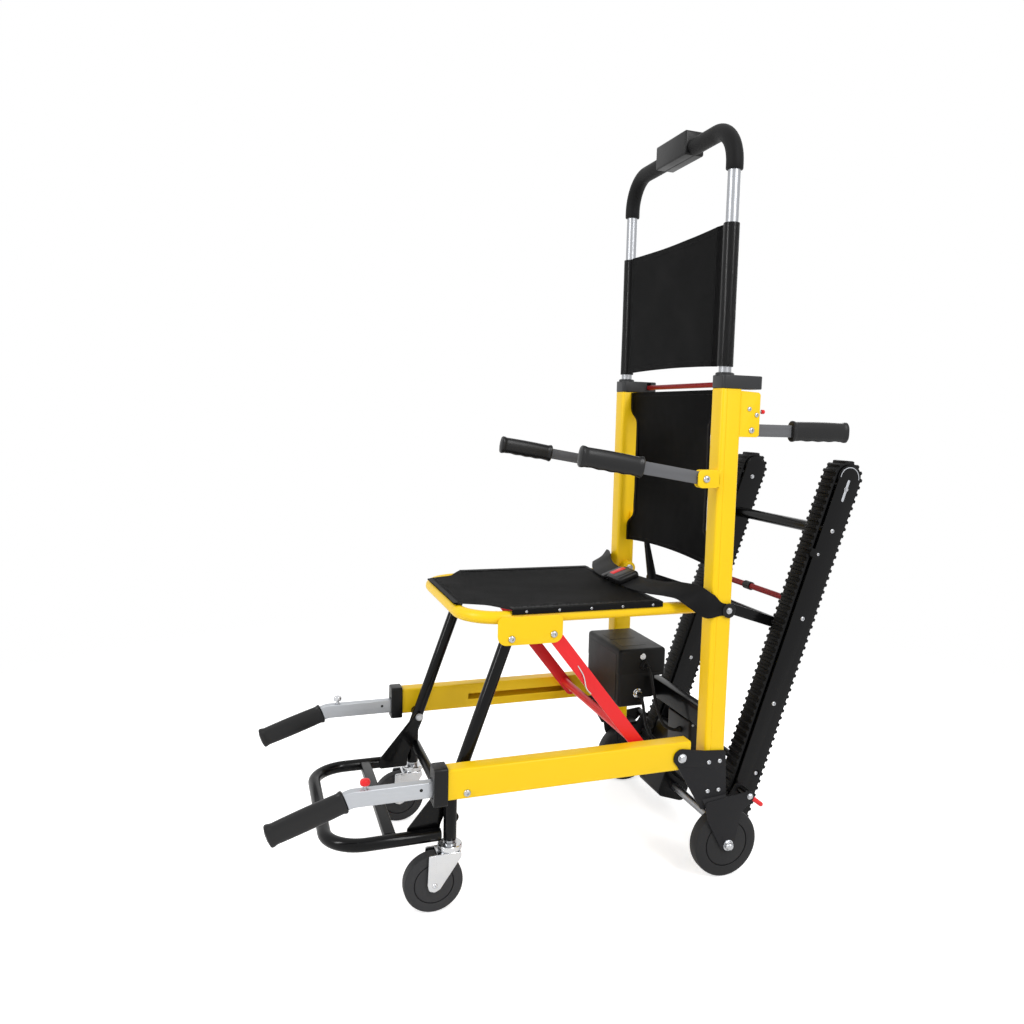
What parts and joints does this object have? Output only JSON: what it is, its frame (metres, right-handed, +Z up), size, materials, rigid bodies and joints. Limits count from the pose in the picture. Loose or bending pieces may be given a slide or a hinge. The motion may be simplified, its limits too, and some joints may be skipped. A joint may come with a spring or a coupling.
{
  "type": "stair climbing wheelchair",
  "caption": "Folding stair chair with yellow frame, cloth seat and back, powered rubber tracks behind, casters, footrest and carrying handles.",
  "frame": {"origin": "floor, under the middle of the chair's box", "axes": "+Z up, the chair faces -Y, its left side is +X"},
  "size_m": [0.503, 1.0888, 1.3645],
  "materials": {
    "yellow_paint": "bright yellow powder coat on aluminium and steel",
    "red_paint": "red paint",
    "black_paint": "glossy black paint",
    "black_plastic": "moulded, matt",
    "black_rubber": "matt rubber",
    "black_cloth": "coated nylon cloth",
    "black_foam": "soft foam",
    "silver_metal": "satin",
    "chrome": "bright plate",
    "grey_rubber": "moulded grey rubber",
    "grey_paint": "satin grey paint"
  },
  "bodies": {
    "frame": {"post_left": "yellow_paint", "post_right": "yellow_paint", "cap_left": "black_plastic", "cap_right": "black_plastic", "upper_cross_beam": "yellow_paint", "middle_cross_bar": "yellow_paint", "battery_cross_bar": "black_paint", "backrest_sheet": "black_cloth", "upper_back_sleeve": "black_cloth", "wheel_bracket_left": "black_paint", "wheel_bracket_right": "black_paint", "battery_case": "black_plastic", "controller_box": "black_plastic", "battery_lead_upper": "black_rubber", "battery_lead_lower": "black_rubber"},
    "push_handle": {"push_handle_tube": "silver_metal", "handle_foam": "black_foam", "control_box": "black_plastic"},
    "rocker": {"rocker_switch": "red_paint"},
    "release": {"release_bar": "red_paint"},
    "seat": {"seat_frame": "yellow_paint", "seat_sheet": "black_cloth", "seat_belt": "black_cloth"},
    "leg": {"leg_frame": "black_paint"},
    "brace": {"brace_frame": "red_paint"},
    "footrest": {"footrest": "black_paint"},
    "beams": {"beam_left": "yellow_paint", "beam_right": "yellow_paint", "beam_end_cap_left": "black_plastic", "beam_end_cap_right": "black_plastic"},
    "track": {"track_frame": "black_paint", "track_belt_left": "black_rubber", "track_belt_right": "black_rubber", "drive_motor": "black_paint"},
    "shaft": {"drive_shaft": "silver_metal"},
    "strut": {"track_strut": "black_paint", "push_bar": "red_paint"},
    "caster_fork_left": {"caster_fork_left": "chrome"},
    "caster_wheel_left": {"caster_wheel_left": "grey_rubber"},
    "front_handle_left": {"front_bar_left": "silver_metal", "front_grip_left": "black_rubber"},
    "pull_pin_left": {"pull_pin_left": "red_paint"},
    "arm_left": {"arm_bar_left": "grey_paint", "arm_grip_left": "black_rubber"},
    "rear_handle_left": {"rear_handle_bar_left": "grey_paint", "rear_handle_grip_left": "black_rubber"},
    "rear_wheel_left": {"rear_wheel_left": "grey_rubber"},
    "brake_left": {"brake_pedal_left": "red_paint"},
    "caster_fork_right": {"caster_fork_right": "chrome"},
    "caster_wheel_right": {"caster_wheel_right": "grey_rubber"},
    "front_handle_right": {"front_bar_right": "silver_metal", "front_grip_right": "black_rubber"},
    "pull_pin_right": {"pull_pin_right": "silver_metal"},
    "arm_right": {"arm_bar_right": "grey_paint", "arm_grip_right": "black_rubber"},
    "rear_handle_right": {"rear_handle_bar_right": "grey_paint", "rear_handle_grip_right": "black_rubber"},
    "rear_wheel_right": {"rear_wheel_right": "grey_rubber"},
    "brake_right": {"brake_pedal_right": "red_paint"}
  },
  "joints": [
    {"name": "handle_slide", "type": "slide", "parent": "frame", "child": "push_handle", "axis": [0, 0, -1], "range_m": [0, 0.27], "deforming": ["upper_back_sleeve"]},
    {"name": "rocker_tilt", "type": "hinge", "parent": "push_handle", "child": "rocker", "pos_m": [0, 0.21512, 1.36], "axis": [1, 0, 0], "range_deg": [-8, 8], "stiffness_Nm_per_rad": 0.05},
    {"name": "release_lift", "type": "slide", "parent": "frame", "child": "release", "axis": [0, 0, 1], "range_m": [0, 0.005], "stiffness_N_per_m": 400},
    {"name": "seat_fold", "type": "hinge", "parent": "frame", "child": "seat", "pos_m": [0, 0.21982, 0.504], "axis": [-1, 0, 0], "range_deg": [0, 82], "deforming": ["seat_belt"]},
    {"name": "leg_fold", "type": "hinge", "parent": "seat", "child": "leg", "pos_m": [0, -0.15618, 0.461], "axis": [-1, 0, 0], "range_deg": [-92.28, 0]},
    {"name": "brace_fold", "type": "hinge", "parent": "seat", "child": "brace", "pos_m": [0, -0.08218, 0.465], "axis": [-1, 0, 0], "range_deg": [-39.69, 0]},
    {"name": "beam_fold", "type": "hinge", "parent": "frame", "child": "beams", "pos_m": [0, 0.15132, 0.2355], "axis": [-1, 0, 0], "range_deg": [0, 83.91]},
    {"name": "footrest_fold", "type": "hinge", "parent": "leg", "child": "footrest", "pos_m": [0, -0.24118, 0.2176], "axis": [-1, 0, 0], "range_deg": [0, 100]},
    {"name": "caster_swivel_left", "type": "hinge", "parent": "leg", "child": "caster_fork_left", "pos_m": [0.171, -0.25018, 0.111], "axis": [0, 0, 1], "continuous": true},
    {"name": "caster_roll_left", "type": "hinge", "parent": "caster_fork_left", "child": "caster_wheel_left", "pos_m": [0.171, -0.27818, 0.05], "axis": [-1, 0, 0], "continuous": true},
    {"name": "front_handle_slide_left", "type": "slide", "parent": "beams", "child": "front_handle_left", "axis": [0, 1, 0], "range_m": [0, 0.095]},
    {"name": "pull_pin_lift_left", "type": "slide", "parent": "front_handle_left", "child": "pull_pin_left", "axis": [0, 0, 1], "range_m": [0, 0.008], "stiffness_N_per_m": 300},
    {"name": "arm_fold_left", "type": "hinge", "parent": "frame", "child": "arm_left", "pos_m": [0.23, 0.17082, 0.731], "axis": [-1, 0, 0], "range_deg": [0, 80]},
    {"name": "rear_handle_fold_left", "type": "hinge", "parent": "frame", "child": "rear_handle_left", "pos_m": [0.2145, 0.26182, 0.816], "axis": [-1, 0, 0], "range_deg": [0, 90]},
    {"name": "rear_wheel_spin_left", "type": "hinge", "parent": "frame", "child": "rear_wheel_left", "pos_m": [0.22, 0.24922, 0.0635], "axis": [1, 0, 0], "continuous": true},
    {"name": "brake_press_left", "type": "hinge", "parent": "frame", "child": "brake_left", "pos_m": [0.22, 0.29082, 0.15], "axis": [-1, 0, 0], "range_deg": [0, 25], "stiffness_Nm_per_rad": 0.4, "springref_deg": -17.19},
    {"name": "caster_swivel_right", "type": "hinge", "parent": "leg", "child": "caster_fork_right", "pos_m": [-0.171, -0.25018, 0.111], "axis": [0, 0, 1], "continuous": true},
    {"name": "caster_roll_right", "type": "hinge", "parent": "caster_fork_right", "child": "caster_wheel_right", "pos_m": [-0.171, -0.27818, 0.05], "axis": [-1, 0, 0], "continuous": true},
    {"name": "front_handle_slide_right", "type": "slide", "parent": "beams", "child": "front_handle_right", "axis": [0, 1, 0], "range_m": [0, 0.095]},
    {"name": "pull_pin_lift_right", "type": "slide", "parent": "front_handle_right", "child": "pull_pin_right", "axis": [0, 0, 1], "range_m": [0, 0.008], "stiffness_N_per_m": 300},
    {"name": "arm_fold_right", "type": "hinge", "parent": "frame", "child": "arm_right", "pos_m": [-0.23, 0.17082, 0.731], "axis": [-1, 0, 0], "range_deg": [0, 80]},
    {"name": "rear_handle_fold_right", "type": "hinge", "parent": "frame", "child": "rear_handle_right", "pos_m": [-0.2145, 0.26182, 0.816], "axis": [-1, 0, 0], "range_deg": [0, 90]},
    {"name": "rear_wheel_spin_right", "type": "hinge", "parent": "frame", "child": "rear_wheel_right", "pos_m": [-0.22, 0.24922, 0.0635], "axis": [1, 0, 0], "continuous": true},
    {"name": "brake_press_right", "type": "hinge", "parent": "frame", "child": "brake_right", "pos_m": [-0.22, 0.29082, 0.15], "axis": [-1, 0, 0], "range_deg": [0, 25], "stiffness_Nm_per_rad": 0.4, "springref_deg": -17.19},
    {"name": "track_fold", "type": "hinge", "parent": "frame", "child": "track", "pos_m": [0, 0.28382, 0.054], "axis": [1, 0, 0], "range_deg": [0, 18]},
    {"name": "shaft_spin", "type": "hinge", "parent": "frame", "child": "shaft", "pos_m": [0, 0.28382, 0.054], "axis": [1, 0, 0], "continuous": true},
    {"name": "strut_fold", "type": "hinge", "parent": "frame", "child": "strut", "pos_m": [0, 0.25582, 0.489], "axis": [1, 0, 0], "range_deg": [-66, 0]}
  ],
  "couplings": [
    {"joint": "leg_fold", "follows": "seat_fold", "ratio": -1.077},
    {"joint": "brace_fold", "follows": "seat_fold", "ratio": -0.4632},
    {"joint": "beam_fold", "follows": "seat_fold", "ratio": 0.97929},
    {"joint": "strut_fold", "follows": "track_fold", "ratio": -3.6}
  ]
}
